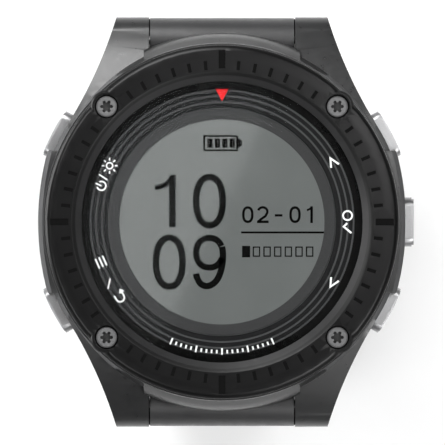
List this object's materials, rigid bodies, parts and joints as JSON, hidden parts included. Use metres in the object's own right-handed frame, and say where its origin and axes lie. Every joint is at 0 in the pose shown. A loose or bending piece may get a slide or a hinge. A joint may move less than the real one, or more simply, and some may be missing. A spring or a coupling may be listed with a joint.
{
  "type": "golf gps watch",
  "caption": "Round golf GPS watch with a screwed bezel, side buttons, a segment display under a crystal, and a rubber strap with a tang buckle.",
  "frame": {"origin": "centre of the back cover's flat outer face", "axes": "+Z out of the display, +Y towards 12 o'clock, +X towards 3 o'clock"},
  "size_m": [0.0471, 0.0526, 0.0684],
  "materials": {
    "case_polymer": "satin dark grey",
    "bezel_metal": "satin gunmetal coating",
    "black_fill": "black enamel",
    "screw_steel": "machined",
    "insert_brass": "machined",
    "crystal_glass": "polished",
    "seal_rubber": "moulded",
    "mask_print": "printed",
    "lcd_glass": "reflective display",
    "clear_plastic": "clear moulding",
    "white_plastic": "moulded",
    "flex_film": "polyimide film",
    "board_green": "solder mask",
    "chip_black": "moulded",
    "can_steel": "tinned",
    "antenna_copper": "plated",
    "frame_plastic": "glass-filled",
    "battery_foil": "laminated foil",
    "cover_steel": "circular brushed",
    "contact_gold": "gold plated",
    "bar_steel": "drawn",
    "strap_rubber": "soft matt",
    "buckle_steel": "brushed",
    "button_steel": "brushed",
    "clip_steel": "stamped",
    "spring_steel": "drawn wire"
  },
  "bodies": {
    "case": {"case_body": "case_polymer", "bezel_ring": "bezel_metal", "bezel_mark_fill": "black_fill", "bezel_screws": "screw_steel", "bezel_screw_inserts": "insert_brass", "crystal": "crystal_glass", "crystal_gasket": "seal_rubber", "dial_mask": "mask_print", "lcd_panel": "lcd_glass", "light_guide": "clear_plastic", "display_frame": "white_plastic", "display_cable": "flex_film", "main_board": "board_green", "board_chips": "chip_black", "shield_can": "can_steel", "gps_antenna": "antenna_copper", "inner_frame": "frame_plastic", "battery": "battery_foil", "vibration_motor": "can_steel", "button_switches": "chip_black", "button_seals": "seal_rubber", "rear_cover": "cover_steel", "rear_gasket": "seal_rubber", "rear_screws": "screw_steel", "contact_block": "chip_black", "charging_contacts": "contact_gold", "strap_bar_12": "bar_steel", "strap_bar_6": "bar_steel", "spring_power_light": "spring_steel", "spring_menu_back": "spring_steel", "spring_up": "spring_steel", "spring_ok": "spring_steel", "spring_down": "spring_steel"},
    "button_power_light_body": {"button_power_light": "button_steel", "clip_power_light": "clip_steel"},
    "button_menu_back_body": {"button_menu_back": "button_steel", "clip_menu_back": "clip_steel"},
    "button_up_body": {"button_up": "button_steel", "clip_up": "clip_steel"},
    "button_ok_body": {"button_ok": "button_steel", "clip_ok": "clip_steel"},
    "button_down_body": {"button_down": "button_steel", "clip_down": "clip_steel"},
    "strap_buckle_side": {"strap_buckle_half": "strap_rubber", "keeper_fixed": "strap_rubber", "buckle_bar": "bar_steel"},
    "keeper_loose": {"keeper_free": "strap_rubber"},
    "buckle": {"buckle_frame": "buckle_steel"},
    "tang": {"buckle_tang": "buckle_steel"},
    "strap_tail_side": {"strap_tail_half": "strap_rubber"}
  },
  "joints": [
    {"name": "button_power_light_press", "type": "slide", "parent": "case", "child": "button_power_light_body", "axis": [0.8829, -0.4695, 0], "range_m": [0, 0.0006], "stiffness_N_per_m": 1500, "springref_m": -0.0004, "deforming": ["spring_power_light"]},
    {"name": "button_menu_back_press", "type": "slide", "parent": "case", "child": "button_menu_back_body", "axis": [0.8829, 0.4695, 0], "range_m": [0, 0.0006], "stiffness_N_per_m": 1500, "springref_m": -0.0004, "deforming": ["spring_menu_back"]},
    {"name": "button_up_press", "type": "slide", "parent": "case", "child": "button_up_body", "axis": [-0.8829, -0.4695, 0], "range_m": [0, 0.0006], "stiffness_N_per_m": 1500, "springref_m": -0.0004, "deforming": ["spring_up"]},
    {"name": "button_ok_press", "type": "slide", "parent": "case", "child": "button_ok_body", "axis": [-1, 0, 0], "range_m": [0, 0.0006], "stiffness_N_per_m": 1500, "springref_m": -0.0004, "deforming": ["spring_ok"]},
    {"name": "button_down_press", "type": "slide", "parent": "case", "child": "button_down_body", "axis": [-0.8829, 0.4695, 0], "range_m": [0, 0.0006], "stiffness_N_per_m": 1500, "springref_m": -0.0004, "deforming": ["spring_down"]},
    {"name": "strap_buckle_side_swing", "type": "hinge", "parent": "case", "child": "strap_buckle_side", "pos_m": [0, 0.0229, 0.0019], "axis": [1, 0, 0], "range_deg": [-4, 90]},
    {"name": "strap_tail_side_swing", "type": "hinge", "parent": "case", "child": "strap_tail_side", "pos_m": [0, -0.0229, 0.0019], "axis": [-1, 0, 0], "range_deg": [-3, 90]},
    {"name": "keeper_slide", "type": "hinge", "parent": "strap_buckle_side", "child": "keeper_loose", "pos_m": [0, 0.0048, -0.02], "axis": [1, 0, 0], "range_deg": [-10, 70]},
    {"name": "buckle_frame_swing", "type": "hinge", "parent": "strap_buckle_side", "child": "buckle", "pos_m": [0, -0.01069, -0.03204], "axis": [1, 0, 0], "range_deg": [-20, 60]},
    {"name": "buckle_tang_swing", "type": "hinge", "parent": "buckle", "child": "tang", "pos_m": [0, -0.01069, -0.03204], "axis": [1, 0, 0], "range_deg": [0, 45]}
  ]
}
